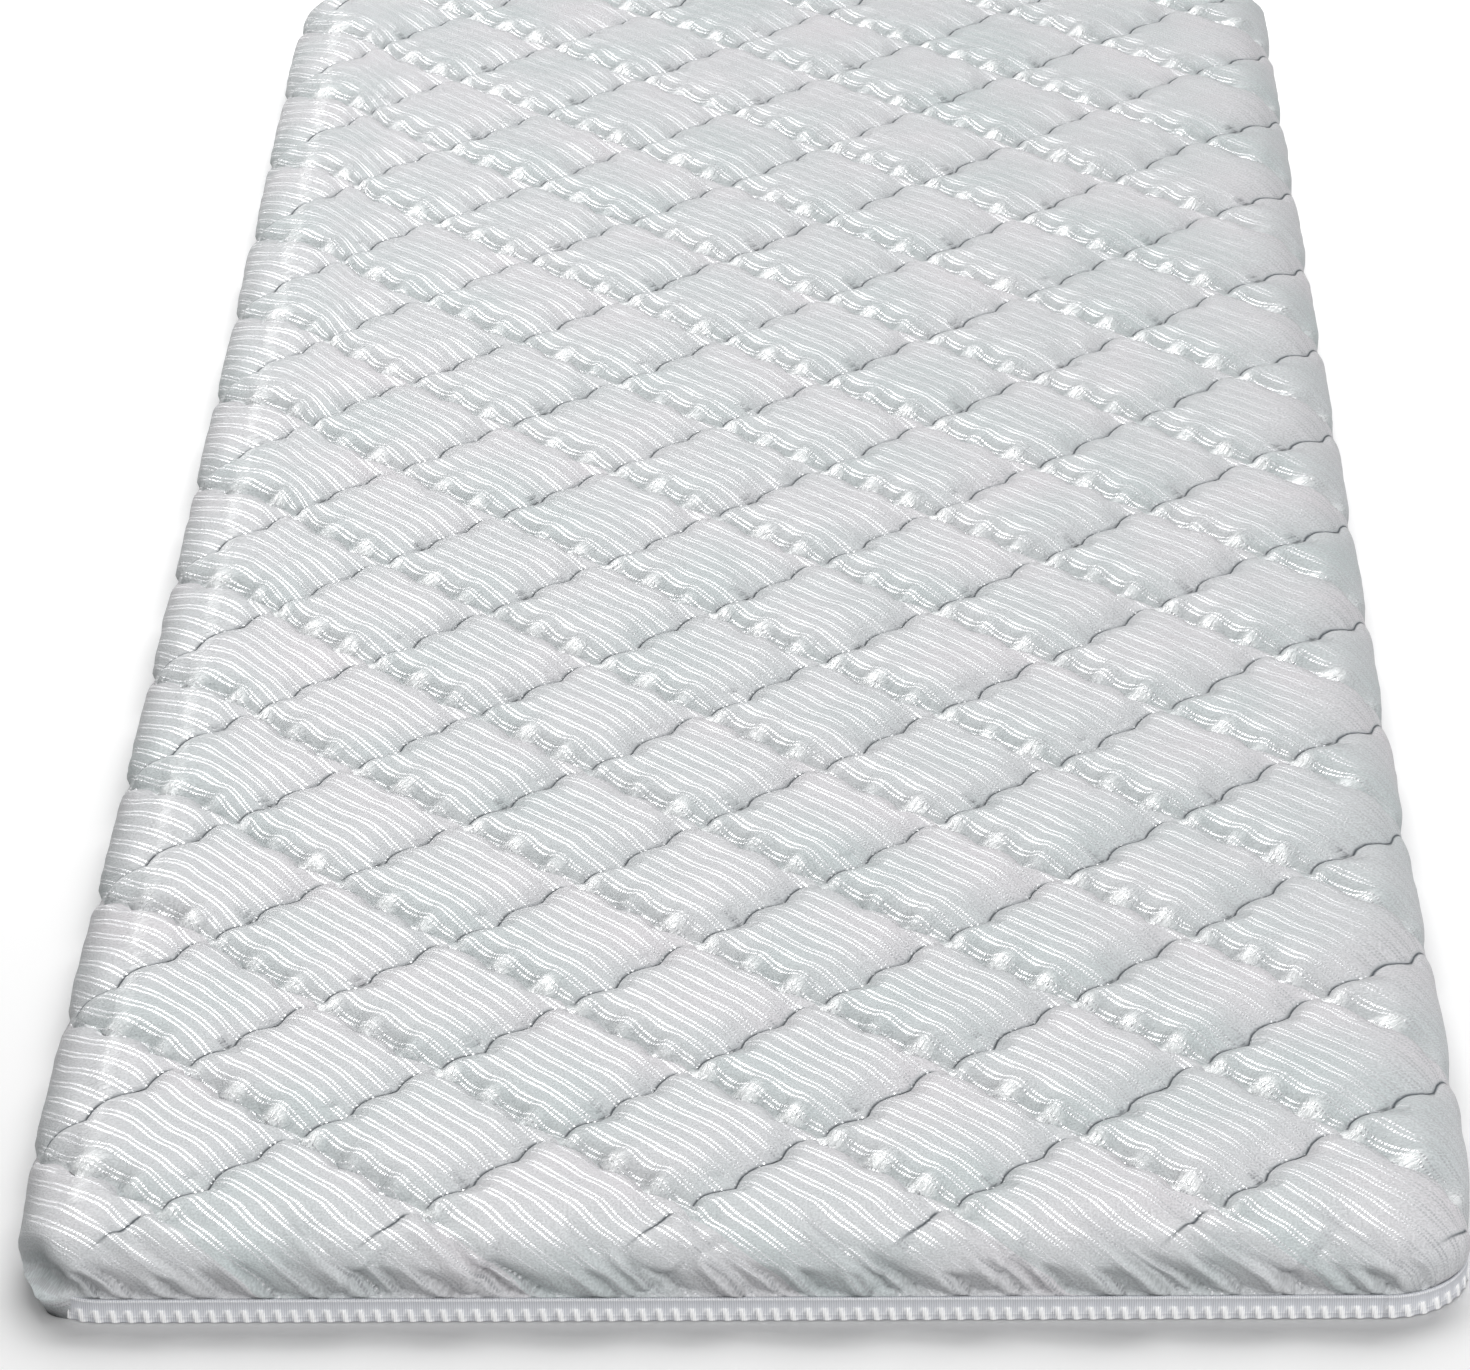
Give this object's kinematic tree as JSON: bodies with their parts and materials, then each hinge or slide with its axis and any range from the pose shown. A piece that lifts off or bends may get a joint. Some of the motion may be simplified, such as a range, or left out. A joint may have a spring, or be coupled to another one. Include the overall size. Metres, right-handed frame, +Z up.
{
  "type": "quilted foam mattress",
  "caption": "Thin quilted foam mattress lying flat, diamond quilting over its top and a ribbed tape round its bottom edge.",
  "frame": {"origin": "on the floor, under the middle of the mattress", "axes": "+X across the width, +Y along the length from the foot end to the head end, +Z up"},
  "size_m": [0.8193, 2.01, 0.053],
  "materials": {
    "damask": "white knitted damask with a satin sheen, quilted",
    "tape": "white ribbed woven tape, matt"
  },
  "bodies": {
    "root": {"quilted_pad": "damask", "edge_tape": "tape"}
  },
  "joints": []
}
